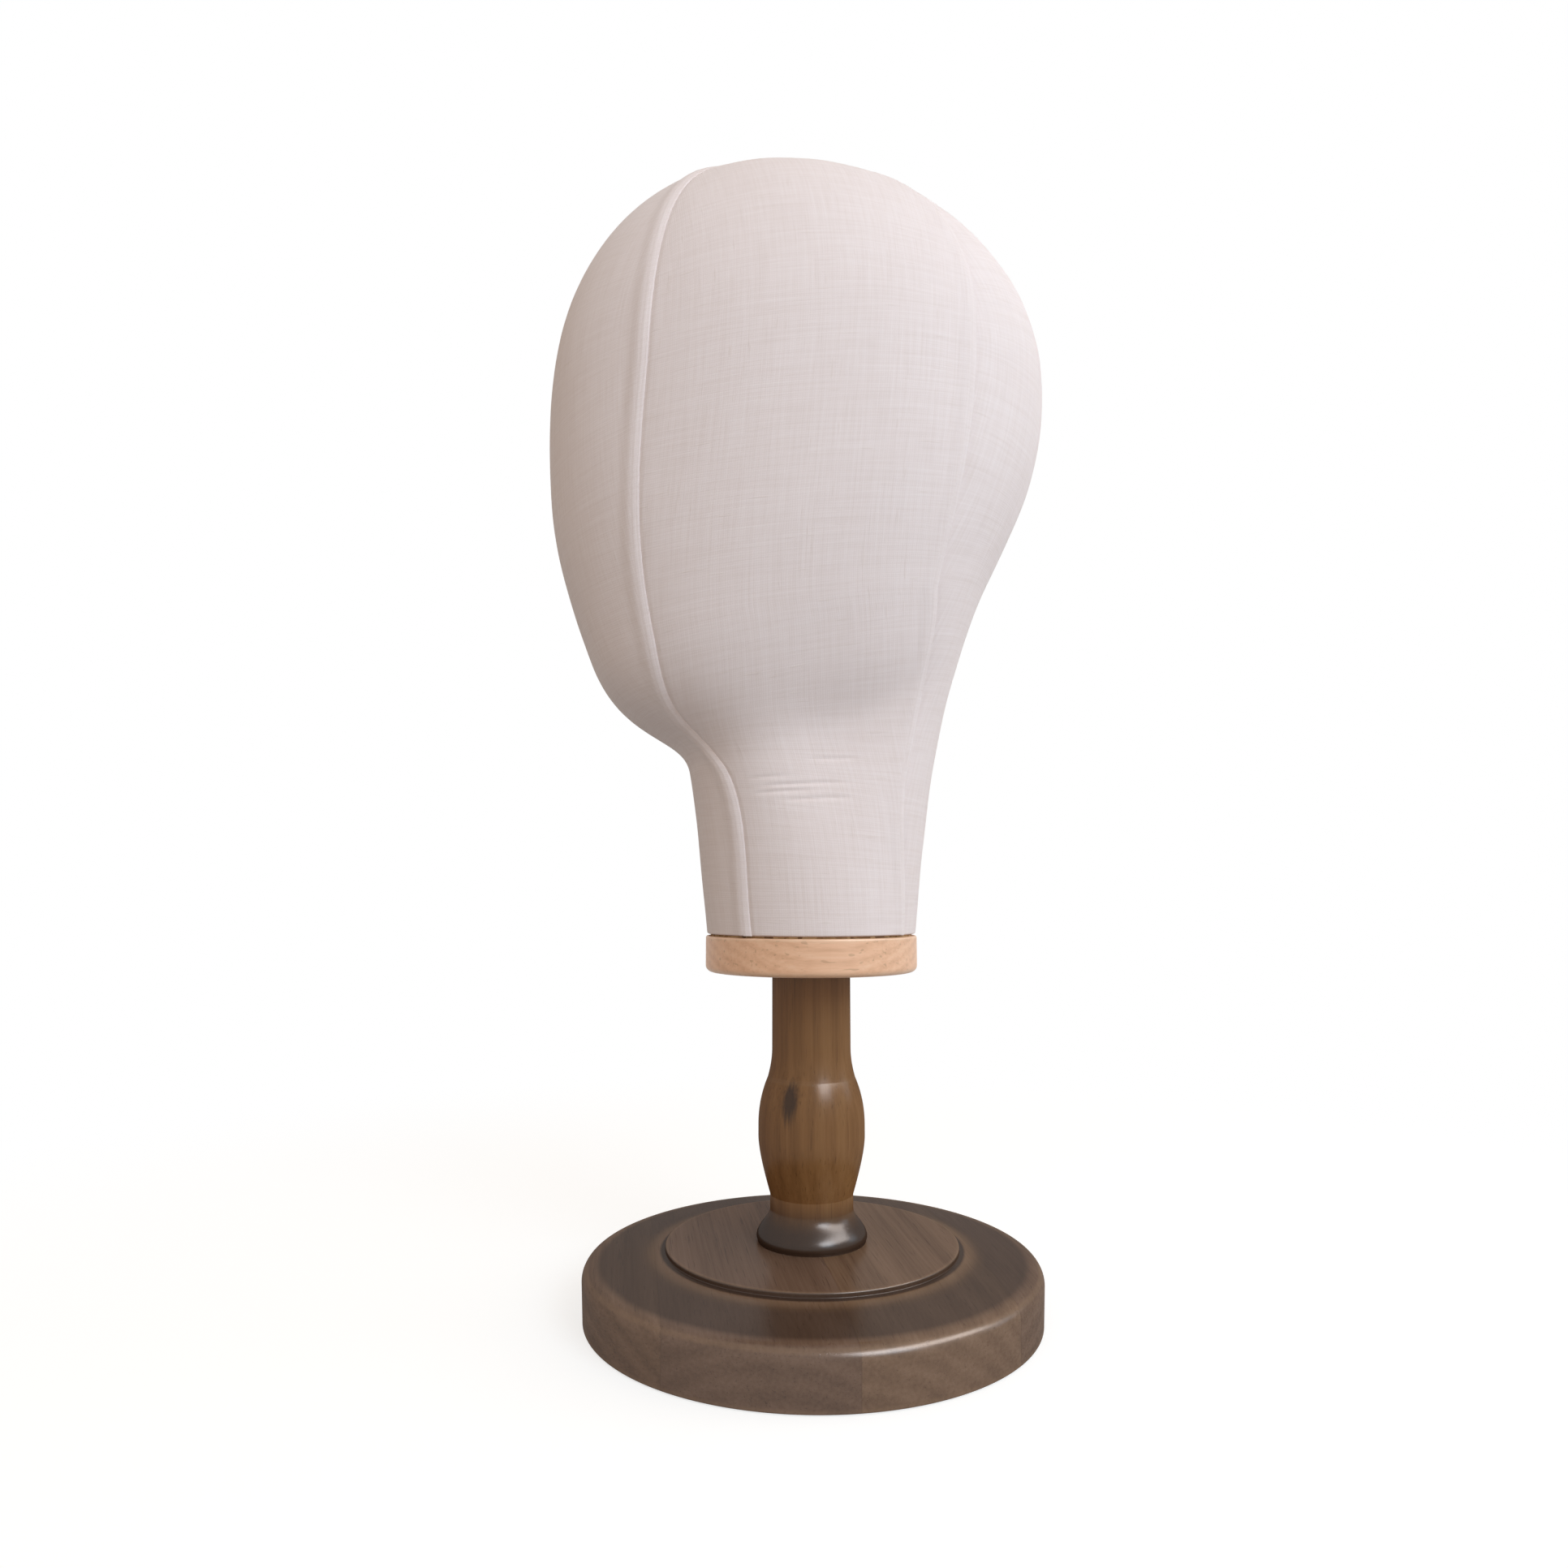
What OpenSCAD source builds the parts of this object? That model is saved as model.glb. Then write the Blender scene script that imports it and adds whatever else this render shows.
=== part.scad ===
// Wig stand: a canvas-covered head block that turns on, and lifts off, a turned wooden stand.
// Millimetres, +Z up. The origin is on the table under the column, and the head faces -Y.

/* [Base] */
// Diameter of the turned base
base_d = 180; // [150:1:240]
// Height of the rim of the base above the table
rim_h = 20.8; // [17:0.2:30]
// Radius of the rounding along the top of the rim
rim_round = 5; // [2:0.5:7]
// How much narrower the base is at its underside, on the radius
base_taper = 0.6; // [0:0.2:4]
// Width of the bevel along the lower edge of the base
base_bevel = 0.6; // [0.4:0.2:3]
// How far the top climbs from the rim to the foot of the raised centre
top_rise = 3.2; // [1:0.2:6]
// Diameter of the raised centre
plinth_d = 116; // [80:1:130]
// Height of the raised centre above the sloping top
plinth_h = 2.2; // [1:0.2:5]
// Radius of the rounding on the edge of the raised centre
plinth_round = 0.7; // [0.3:0.1:0.9]
// Width of the small slope at the foot of the raised centre
plinth_slope_w = 1.3; // [0.5:0.1:3]
// Height of that slope
plinth_slope_h = 0.3; // [0.1:0.1:0.6]
// Diameter of the felt under the base
felt_d = 168; // [120:1:176]
// Thickness of the felt, which is let into the underside
felt_t = 1.5; // [1:0.25:3]
// Height of the lower edge of the base above the table
base_lift = 0.4; // [0.2:0.1:0.8]

/* [Column] */
// Height of the column from the raised centre to its top
column_h = 104.5; // [98:0.5:160]
// Diameter of the straight shaft
shaft_d = 31.8; // [28:0.2:40]
// Diameter of the bead at the foot
foot_d = 44; // [38:0.2:60]
// Height of the widest part of the foot bead
foot_wide_h = 1.9; // [1:0.1:3]
// How far the foot bead draws in below that, on the radius
foot_tuck = 0.5; // [0.2:0.1:2]
// Diameter of the waist above the foot
waist_d = 33.2; // [30:0.2:36]
// Height at which the foot has run into the waist
waist_low_h = 12.6; // [9:0.2:16]
// Height at which the barrel starts, with a line round the waist
waist_high_h = 18; // [17:0.2:26]
// Diameter of the barrel
barrel_d = 42.8; // [39:0.2:56]
// Height at which the barrel reaches its full diameter
barrel_low_h = 40.8; // [34:0.2:43]
// Height at which the barrel starts to narrow
barrel_high_h = 45; // [44:0.2:54]
// Height of the turned line on the shoulder of the barrel
shoulder_h = 63.4; // [58:0.2:68]
// How much wider the shaft gets down to that line, on the radius
shoulder_flare = 1.75; // [0.5:0.05:3]
// Height at which the shaft starts to widen
shaft_low_h = 75; // [70:0.5:90]
// Diameter of the tenon in the base
tenon_d = 26; // [20:0.5:30]
// Length of the tenon
tenon_l = 10; // [6:0.5:11]

/* [Column fastening] */
// Diameter of the bolt that draws the column on to the base
bolt_d = 8; // [6:0.5:10]
// Length of the bolt under its head
bolt_l = 34; // [26:1:40]
// Width of the bolt head across its corners
bolt_head_d = 15; // [12:0.5:18]
// Height of the bolt head
bolt_head_h = 4.6; // [3:0.2:5.4]
// Diameter of the washer under the bolt head
bolt_washer_d = 22; // [19:0.5:26]
// Thickness of that washer
bolt_washer_t = 1.6; // [1:0.2:2]
// Outer diameter of the threaded sleeve in the column
sleeve_d = 14; // [11:0.5:18]
// Length of the threaded sleeve
sleeve_l = 22; // [15:1:28]

/* [Swivel] */
// Diameter of the steel swivel pin
pin_d = 12; // [8:0.5:16]
// Length of the pin inside the column
pin_set_l = 42; // [25:1:50]
// Length of the pin above the column
pin_out_l = 50; // [30:1:65]
// Length of the taper at the tip of the pin
pin_tip_l = 3; // [1:0.5:5]
// Diameter of the end of the pin
pin_tip_d = 8.4; // [4:0.2:9]
// Diameter of the washer between the column and the neck plate
washer_d = 33.6; // [30:0.2:42]
// Thickness of that washer
washer_t = 1.2; // [0.8:0.1:3]
// Wall of the bush that runs on the pin
bush_wall = 2; // [1:0.25:4]
// Diameter of the flange of the bush
bush_flange_d = 24; // [21:0.5:30]
// Thickness of the flange of the bush
bush_flange_t = 1.5; // [1:0.25:3]
// Length of the bush past the tip of the pin
bush_spare_l = 2; // [1:0.5:6]

/* [Neck plate and plug] */
// Diameter of the neck plate
plate_d = 86; // [80:0.5:100]
// Thickness of the neck plate
plate_t = 14.4; // [10:0.2:20]
// Radius of the rounding along the lower edge of the plate
plate_round = 2.6; // [1:0.2:4]
// Radius of the rounding along the upper edge of the plate
plate_top_round = 0.8; // [0.4:0.1:1.5]
// Diameter of the wooden plug in the neck
plug_d = 60; // [56:1:70]
// Height of the plug
plug_h = 62; // [50:1:75]
// Number of screws that hold the plate to the plug
screw_count = 4; // [3:1:6]
// Diameter of the circle on which the screws lie
screw_circle_d = 46; // [42:1:50]
// Diameter of the screw shank
screw_d = 4; // [3:0.25:5]
// Diameter of the screw head
screw_head_d = 8; // [6:0.25:10]
// Height of the countersunk head
screw_head_h = 2.4; // [1.5:0.1:4]
// Height of the straight edge of the head
screw_land_h = 0.3; // [0.1:0.1:0.8]
// Length of the screw with its head
screw_l = 36; // [28:1:45]

/* [Head, over the canvas, heights above the neck plate] */
// Height of the throat
throat_h = 66.5; // [60:0.5:75]
// Reach of the throat in front of the axis
throat_out = 50; // [46:0.5:58]
// Height of the chin
chin_h = 111; // [100:0.5:120]
// Reach of the chin in front of the axis
chin_out = 91; // [80:0.5:98]
// Height of the face where it reaches furthest
face_h = 209; // [195:0.5:225]
// Reach of the face in front of the axis
face_out = 109.5; // [100:0.5:120]
// Height of the crown
crown_h = 326.5; // [305:0.5:345]
// Distance of the crown in front of the axis
crown_out = 11; // [4:0.5:20]
// Height of the nape
nape_h = 62.5; // [55:0.5:72]
// Reach of the nape behind the axis
nape_out = 48.8; // [45:0.1:56]
// Height of the middle of the back curve
poll_h = 136; // [126:0.5:146]
// Reach of the middle of the back curve
poll_out = 69; // [62:0.2:78]
// Height at which the back of the head reaches furthest
occiput_h = 229; // [215:0.5:240]
// Reach of the back of the head behind the axis
occiput_out = 100; // [92:0.2:108]
// Half width at the throat
throat_half = 47; // [44:0.5:52]
// Half width at the jaw
jaw_half = 65; // [58:0.5:72]
// Half width at the temples, the widest part
temple_half = 79; // [72:0.5:86]
// How much narrower the front of the head is than the back, as a share
egg_share = 0.08; // [0:0.01:0.15]
// Depth of the hollow under each corner of the jaw
jaw_hollow = 5.5; // [0:0.5:7]

/* [Canvas] */
// Thickness of the canvas with its padding
canvas_t = 1.2; // [0.8:0.1:2]
// Width of each raised seam
seam_w = 3.2; // [2:0.1:5]
// How far each seam stands above the canvas
seam_proud = 0.8; // [0.4:0.1:1.5]
// Height of the open line between the hem and the neck plate
hem_gap = 0.8; // [0.4:0.1:2]
// How far the hem lies inside the edge of the neck plate
hem_inset = 0.5; // [0:0.1:2]

/* [Hidden] */
$fn = 96;

// Clearances on the radius: glued or driven fits, screw holes, and the running fit of the pin
glue_gap = 0.05;
hole_gap = 0.3;
run_gap = 0.06;
// Gap between the canvas and the core, and between a seam and the panels beside it
cover_gap = 0.2;
seam_gap = 0.15;
// Room around and above the bolt parts, and past the ends of fasteners
bolt_room = 1.5;
end_room = 1;

// Heights of the seats, from the table up
rim_z = rim_h;
top_z = rim_z + top_rise;
plinth_z = top_z + plinth_h;
column_z = plinth_z + column_h;
washer_z = column_z + washer_t;
plate_z = washer_z + plate_t;
hem_z = plate_z + hem_gap;
recess_h = bolt_head_h + bolt_washer_t + end_room;
recess_z = felt_t + recess_h;
bush_l = pin_out_l - washer_t + bush_spare_l;
bush_r = pin_d / 2 + run_gap + bush_wall;
neck_r = plate_d / 2 - hem_inset;

// How upright the curves of the column stay below the barrel, above it and where the shaft widens
low_bend = 0.3;
high_bend = 0.53;
flare_bend = 0.47;

// Outline of the base
base_r = base_d / 2;
plinth_r = plinth_d / 2;
rim_in = base_r - rim_round;
rim_slope = atan2(top_rise, rim_in - plinth_r);

// Points along an arc, for the outlines of turned pieces
function arc(x, z, r, from, to, steps = 6) =
    [for (i = [0 : steps]) let (a = from + (to - from) * i / steps) [x + r * cos(a), z + r * sin(a)]];

// Points of a smooth run from radius r0 at height z0, not included, to radius r1 at height z1
function swell(r0, z0, r1, z1, steps = 14) =
    [for (i = [1 : steps]) let (u = i / steps, share = (1 - cos(180 * u)) / 2)
        [r0 + (r1 - r0) * share, z0 + (z1 - z0) * u]];

// Points between the ends of a curve that leaves radius r0 upright at height z0 and comes to radius
// r1 at height z1 at a slant; bend is the share of the height that its upright handle takes
function bow(r0, z0, r1, z1, bend, steps = 9) =
    [for (i = [1 : steps - 1]) let (u = i / steps)
        [r0 + (r1 - r0) * u * u, z0 + (z1 - z0) * (2 * bend * u * (1 - u) + u * u)]];
function turned_back(points) = [for (i = [len(points) - 1 : -1 : 0]) points[i]];

module base_felt() {
    color("#3a332d") cylinder(d = felt_d, h = felt_t);
}

module base_outline() {
    polygon(concat(
        [[0, base_lift], [base_r - base_taper - base_bevel, base_lift],
         [base_r - base_taper, base_lift + base_bevel], [base_r, rim_z - rim_round]],
        [[rim_in + rim_round * sin(rim_slope), rim_z - rim_round + rim_round * cos(rim_slope)]],
        [[plinth_r + plinth_slope_w, top_z], [plinth_r, top_z + plinth_slope_h]],
        arc(plinth_r - plinth_round, plinth_z - plinth_round, plinth_round, 0, 90),
        [[0, plinth_z]]
    ));
    translate([rim_in, rim_z - rim_round]) circle(r = rim_round);
}

module base_disc() {
    color("#6b5545") difference() {
        rotate_extrude() base_outline();
        translate([0, 0, -end_room]) cylinder(d = felt_d + 2 * glue_gap, h = felt_t + end_room);
        translate([0, 0, plinth_z - tenon_l - end_room])
            cylinder(d = tenon_d + 2 * glue_gap, h = tenon_l + 2 * end_room);
        translate([0, 0, -end_room])
            cylinder(d = bolt_washer_d + 2 * bolt_room, h = recess_z + end_room);
        cylinder(d = bolt_d + 2 * hole_gap, h = plinth_z);
    }
}

module column_outline() {
    foot_r = foot_d / 2;
    waist_r = waist_d / 2;
    barrel_r = barrel_d / 2;
    shaft_r = shaft_d / 2;
    shoulder_r = shaft_r + shoulder_flare;
    foot_z = plinth_z + foot_wide_h;
    waist_low_z = plinth_z + waist_low_h;
    waist_high_z = plinth_z + waist_high_h;
    barrel_low_z = plinth_z + barrel_low_h;
    barrel_high_z = plinth_z + barrel_high_h;
    shoulder_z = plinth_z + shoulder_h;
    shaft_z = plinth_z + shaft_low_h;
    polygon(concat(
        [[0, plinth_z - tenon_l], [tenon_d / 2, plinth_z - tenon_l], [tenon_d / 2, plinth_z]],
        [[foot_r - foot_tuck, plinth_z]],
        swell(foot_r - foot_tuck, plinth_z, foot_r, foot_z, 4),
        swell(foot_r, foot_z, waist_r, waist_low_z),
        [[waist_r, waist_high_z]],
        turned_back(bow(barrel_r, barrel_low_z, waist_r, waist_high_z, low_bend)),
        [[barrel_r, barrel_low_z], [barrel_r, barrel_high_z]],
        bow(barrel_r, barrel_high_z, shoulder_r, shoulder_z, high_bend),
        [[shoulder_r, shoulder_z]],
        turned_back(bow(shaft_r, shaft_z, shoulder_r, shoulder_z, flare_bend)),
        [[shaft_r, shaft_z], [shaft_r, column_z], [0, column_z]]
    ));
}

module column() {
    sleeve_z = plinth_z - tenon_l;
    color("#684f3a") difference() {
        rotate_extrude() column_outline();
        translate([0, 0, sleeve_z - end_room])
            cylinder(d = sleeve_d + 2 * glue_gap, h = sleeve_l + end_room);
        translate([0, 0, sleeve_z])
            cylinder(d = bolt_d + 2 * hole_gap, h = max(sleeve_l, bolt_l) + end_room);
        translate([0, 0, column_z - pin_set_l])
            cylinder(d = pin_d + 2 * glue_gap, h = pin_set_l + end_room);
    }
}

module base_bolt() {
    head_z = recess_z - bolt_washer_t - bolt_head_h;
    color("#b9bcc0") {
        translate([0, 0, head_z]) cylinder(d = bolt_head_d, h = bolt_head_h, $fn = 6);
        translate([0, 0, head_z]) cylinder(d = bolt_d, h = bolt_head_h + bolt_l);
    }
}

module bolt_washer() {
    color("#c4c7ca") translate([0, 0, recess_z - bolt_washer_t]) difference() {
        cylinder(d = bolt_washer_d, h = bolt_washer_t);
        translate([0, 0, -end_room]) cylinder(d = bolt_d + 2 * hole_gap, h = bolt_washer_t + 2 * end_room);
    }
}

module threaded_sleeve() {
    color("#c2a25a") translate([0, 0, plinth_z - tenon_l]) difference() {
        cylinder(d = sleeve_d, h = sleeve_l);
        translate([0, 0, -end_room]) cylinder(d = bolt_d + 2 * glue_gap, h = sleeve_l + 2 * end_room);
    }
}

module swivel_pin() {
    straight_l = pin_set_l + pin_out_l - pin_tip_l;
    color("#a9adb2") translate([0, 0, column_z - pin_set_l]) {
        cylinder(d = pin_d, h = straight_l);
        translate([0, 0, straight_l]) cylinder(d1 = pin_d, d2 = min(pin_tip_d, pin_d), h = pin_tip_l);
    }
}

module swivel_washer() {
    color("#4a2f22") translate([0, 0, column_z]) difference() {
        cylinder(d = washer_d, h = washer_t);
        translate([0, 0, -end_room]) cylinder(d = pin_d + 2 * run_gap, h = washer_t + 2 * end_room);
    }
}

module neck_bush() {
    color("#c2a25a") translate([0, 0, washer_z]) difference() {
        union() {
            cylinder(d = bush_flange_d, h = bush_flange_t);
            cylinder(r = bush_r, h = bush_l);
        }
        translate([0, 0, -end_room]) cylinder(d = pin_d + 2 * run_gap, h = bush_l + 2 * end_room);
    }
}

module plate_outline() {
    r = plate_d / 2;
    polygon(concat(
        [[0, washer_z], [r - plate_round, washer_z], [r, washer_z + plate_round]],
        arc(r - plate_top_round, plate_z - plate_top_round, plate_top_round, 0, 90),
        [[0, plate_z]]
    ));
    translate([r - plate_round, washer_z + plate_round]) circle(r = plate_round);
}

// Places one child at each plate screw, with its head flush with the underside of the plate
module at_plate_screws() {
    for (i = [0 : screw_count - 1])
        rotate([0, 0, 360 * (i + 0.5) / screw_count])
            translate([screw_circle_d / 2, 0, washer_z])
                children();
}

// A countersunk screw, or with a gap, and room below its head, the hole that it goes in
module screw_shape(gap = 0, room = 0) {
    head_r = screw_head_d / 2 + gap;
    shank_r = screw_d / 2 + gap;
    rotate_extrude() polygon([
        [0, -room], [head_r, -room], [head_r, screw_land_h], [shank_r, screw_head_h],
        [shank_r, screw_l + gap], [0, screw_l + gap]
    ]);
}

module neck_plate() {
    color("#d9ae86") difference() {
        rotate_extrude() plate_outline();
        translate([0, 0, washer_z - end_room])
            cylinder(d = bush_flange_d + 2 * glue_gap, h = bush_flange_t + end_room);
        translate([0, 0, washer_z]) cylinder(r = bush_r + glue_gap, h = plate_t + end_room);
        at_plate_screws() screw_shape(glue_gap, end_room);
    }
}

module plate_screws() {
    color("#b9bcc0") at_plate_screws() screw_shape();
}

module neck_plug() {
    color("#cda67c") difference() {
        translate([0, 0, plate_z]) cylinder(d = plug_d, h = plug_h);
        translate([0, 0, washer_z]) cylinder(r = bush_r + glue_gap, h = bush_l + end_room);
        at_plate_screws() screw_shape(glue_gap, end_room);
    }
}

// The head is lofted through closed sections. Each runs from a front point to a back point of the
// side view, and both points, the half width, the squareness of the section and the section angles
// of the two seams on each side follow chains of Bezier curves: hem, throat, chin, temples, crown.
function bezier(c, u) =
    c[0] * pow(1 - u, 3) + c[1] * 3 * u * pow(1 - u, 2) + c[2] * 3 * u * u * (1 - u) + c[3] * pow(u, 3);
function dir(a) = [cos(a), sin(a)];

hem_point = [neck_r, hem_z];
throat_point = [throat_out, plate_z + throat_h];
chin_point = [chin_out, plate_z + chin_h];
face_point = [face_out, plate_z + face_h];
crown_front = [crown_out, plate_z + crown_h];
nape_point = [nape_out, plate_z + nape_h];
poll_point = [poll_out, plate_z + poll_h];
occiput_point = [occiput_out, plate_z + occiput_h];
crown_back = [-crown_out, plate_z + crown_h];

// Angles of the side view at the points, in degrees from level
hem_angle = 85;
throat_angle = 79;
chin_angle = 69;
nape_angle = 81;
poll_angle = 66;

// Lengths of the curve handles below and above each point, and beside the crown
hem_pull = 20;
throat_low_pull = 13;
throat_high_pull = 18;
chin_low_pull = 34;
chin_high_pull = 37;
face_low_pull = 40;
face_high_pull = 68;
nape_low_pull = 22;
nape_high_pull = 31;
poll_low_pull = 20.5;
poll_high_pull = 26.5;
occiput_low_pull = 40.5;
occiput_high_pull = 56;
crown_front_pull = 65;
crown_back_pull = 56;
crown_side_pull = 40;
neck_half_pull = 2;
jaw_half_pull = 8;

front_chain = [
    [hem_point, hem_point + hem_pull * dir(hem_angle),
     throat_point - throat_low_pull * dir(throat_angle), throat_point],
    [throat_point, throat_point + throat_high_pull * dir(throat_angle),
     chin_point - chin_low_pull * dir(chin_angle), chin_point],
    [chin_point, chin_point + chin_high_pull * dir(chin_angle),
     face_point - [0, face_low_pull], face_point],
    [face_point, face_point + [0, face_high_pull],
     crown_front + [crown_front_pull, 0], crown_front]
];
back_chain = [
    [hem_point, hem_point + hem_pull * dir(hem_angle),
     nape_point - nape_low_pull * dir(nape_angle), nape_point],
    [nape_point, nape_point + nape_high_pull * dir(nape_angle),
     poll_point - poll_low_pull * dir(poll_angle), poll_point],
    [poll_point, poll_point + poll_high_pull * dir(poll_angle),
     occiput_point - [0, occiput_low_pull], occiput_point],
    [occiput_point, occiput_point + [0, occiput_high_pull],
     crown_back + [crown_back_pull, 0], crown_back]
];
half_chain = [
    [neck_r, neck_r + neck_half_pull, throat_half - neck_half_pull, throat_half],
    [throat_half, throat_half + neck_half_pull, jaw_half - jaw_half_pull, jaw_half],
    [jaw_half, jaw_half + jaw_half_pull, temple_half, temple_half],
    [temple_half, temple_half, crown_side_pull, 0]
];

// Squareness of the sections, the share of the egg shape, and the section angles of the seams
square_chain = [[2, 2, 2.2, 2.3], [2.3, 2.5, 2.5, 2.3], [2.3, 2.1, 2, 2], [2, 2, 2, 2]];
egg_chain = [[0, 0, 0, 0.2], [0.2, 0.6, 0.9, 1], [1, 1, 1, 1], [1, 1, 1, 1]];
front_seam_chain = [
    [46.4, 43.4, 52.4, 38.5], [38.5, 19, 45.7, 46.7], [46.7, 47.6, 48, 50.2], [50.2, 51.9, 49, 47]
];
back_seam_chain = [
    [137.3, 137, 125, 125.3], [125.3, 126.6, 129, 124.5], [124.5, 124.7, 121.5, 121.8], [121.8, 125, 126, 130]
];

function at(chain, t) = let (s = min(floor(t), 3)) bezier(chain[s], t - s);
function power_of(v, p) = sign(v) * pow(abs(v), p);

// Middle of the hollow under the corner of the jaw, how many degrees it spreads, how far it climbs
// towards the back for each degree, and how far it spreads above and below its middle
jaw_angle = 99;
jaw_angle_spread = 28;
jaw_h = 82;
jaw_tilt = 0.4;
jaw_over = 14;
jaw_under = 30;
function hollow(angle, z) = let (
    turned = 180 - abs(180 - abs(angle)),
    above = z - plate_z - jaw_h - jaw_tilt * (turned - jaw_angle),
    fall = above / (above > 0 ? jaw_over : jaw_under)
) jaw_hollow * exp(-pow((turned - jaw_angle) / jaw_angle_spread, 2) - pow(fall, 2));

// Point of the canvas surface at place t along the chains and at a section angle from the face
function bare_point(t, angle) = let (
    front = at(front_chain, t),
    back = at(back_chain, t),
    reach = power_of(cos(angle), 2 / at(square_chain, t)),
    side = power_of(sin(angle), 2 / at(square_chain, t)),
    y = (back[0] - front[0]) / 2 - reach * (front[0] + back[0]) / 2,
    z = (front[1] + back[1]) / 2 + reach * (front[1] - back[1]) / 2,
    half = at(half_chain, t) * (1 - egg_share * at(egg_chain, t) * cos(angle))
) [side * (half - hollow(angle, z)), y, z];

// The same point moved along the normal of the surface, and level along the hem
step_share = 0.01;
last_place = 4 - step_share / 10;
function head_point(t, angle, off) = let (
    p = bare_point(t, angle),
    along = bare_point(t, angle + 1) - bare_point(t, angle - 1),
    up = bare_point(min(t + step_share, last_place), angle) - bare_point(max(t - step_share, 0), angle),
    n = cross(along, up),
    m = t == 0 ? [n[0], n[1], 0] : n
) p + off * m / norm(m);

function crown_point(off) = [0, -crown_out, plate_z + crown_h + off];

// Rows of the loft along the chains, closer together towards the crown
chain_rows = [4, 8, 8, 9];
rows = concat(
    [for (s = [0 : 2], k = [0 : chain_rows[s] - 1]) s + k / chain_rows[s]],
    [for (k = [0 : chain_rows[3] - 1]) 4 - pow(1 - k / chain_rows[3], 1.5)]
);
row_count = len(rows);

// Columns of one panel, between the seams that it lies between
panel_cells = 8;
panel_cols = panel_cells + 1;
function seam_angles(t) = let (f = at(front_seam_chain, t), b = at(back_seam_chain, t))
    [-f, f, b, 360 - b, 360 - f];
function seam_spread(t) = min(12, asin(min(1, seam_w / (at(half_chain, t) + at(front_chain, t)[0]))));
function panel_angles(t, panel) = let (
    edges = seam_angles(t),
    from = edges[panel] + seam_spread(t),
    to = edges[panel + 1] - seam_spread(t)
) [for (j = [0 : panel_cells]) from + (to - from) * j / panel_cells];

function quad(a, b, c, d) = [[a, b, c], [a, c, d]];
function flat(lists) = [for (l = lists, e = l) e];

// One canvas panel: an outer and an inner sheet that meet along the hem, the seams and the crown
module canvas_panel(panel) {
    sheet = row_count * panel_cols;
    points = concat(
        [for (t = rows, a = panel_angles(t, panel)) head_point(t, a, 0)],
        [for (t = rows, a = panel_angles(t, panel)) head_point(t, a, -canvas_t)],
        [crown_point(0), crown_point(-canvas_t)]
    );
    top_out = 2 * sheet;
    top_in = top_out + 1;
    last = (row_count - 1) * panel_cols;
    faces = concat(
        flat([for (i = [0 : row_count - 2], j = [0 : panel_cells - 1]) let (k = i * panel_cols + j)
            quad(k, k + panel_cols, k + panel_cols + 1, k + 1)]),
        flat([for (i = [0 : row_count - 2], j = [0 : panel_cells - 1]) let (k = sheet + i * panel_cols + j)
            quad(k, k + 1, k + panel_cols + 1, k + panel_cols)]),
        flat([for (j = [0 : panel_cells - 1]) quad(j, j + 1, sheet + j + 1, sheet + j)]),
        flat([for (i = [0 : row_count - 2]) let (k = i * panel_cols)
            quad(k, sheet + k, sheet + k + panel_cols, k + panel_cols)]),
        flat([for (i = [0 : row_count - 2]) let (k = i * panel_cols + panel_cells)
            quad(k, k + panel_cols, sheet + k + panel_cols, sheet + k)]),
        [for (j = [0 : panel_cells - 1]) [last + j, top_out, last + j + 1]],
        [for (j = [0 : panel_cells - 1]) [sheet + last + j, sheet + last + j + 1, top_in]],
        quad(last, sheet + last, top_in, top_out),
        quad(last + panel_cells, top_out, top_in, sheet + last + panel_cells)
    );
    polyhedron(points, faces);
}

module face_panel() {
    color("#cbb8aa") canvas_panel(0);
}

module left_panel() {
    color("#d8ccc8") canvas_panel(1);
}

module back_panel() {
    color("#d6cdc9") canvas_panel(2);
}

module right_panel() {
    color("#d8ccc8") canvas_panel(3);
}

// One raised seam: a low ridge that fills the line between two panels, from the hem to the last row
module canvas_seam(seam) {
    ring = [[-1, -canvas_t], [1, -canvas_t], [1, 0], [0.45, seam_proud], [-0.45, seam_proud], [-1, 0]];
    sides = len(ring);
    points = [for (t = rows, r = ring) let (
        spread = seam_spread(t) * (1 - 2 * seam_gap / seam_w)
    ) head_point(t, seam_angles(t)[seam] + r[0] * spread, r[1])];
    last = (row_count - 1) * sides;
    faces = concat(
        flat([for (i = [0 : row_count - 2], j = [0 : sides - 1]) let (
            a = i * sides + j,
            b = i * sides + (j + 1) % sides
        ) quad(a, b, b + sides, a + sides)]),
        [for (j = [1 : sides - 2]) [0, j + 1, j]],
        [for (j = [1 : sides - 2]) [last, last + j, last + j + 1]]
    );
    polyhedron(points, [for (f = faces) [f[2], f[1], f[0]]]);
}

module left_front_seam() {
    color("#e4dad4") canvas_seam(1);
}

module left_back_seam() {
    color("#e4dad4") canvas_seam(2);
}

module right_back_seam() {
    color("#e4dad4") canvas_seam(3);
}

module right_front_seam() {
    color("#e4dad4") canvas_seam(4);
}

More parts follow.
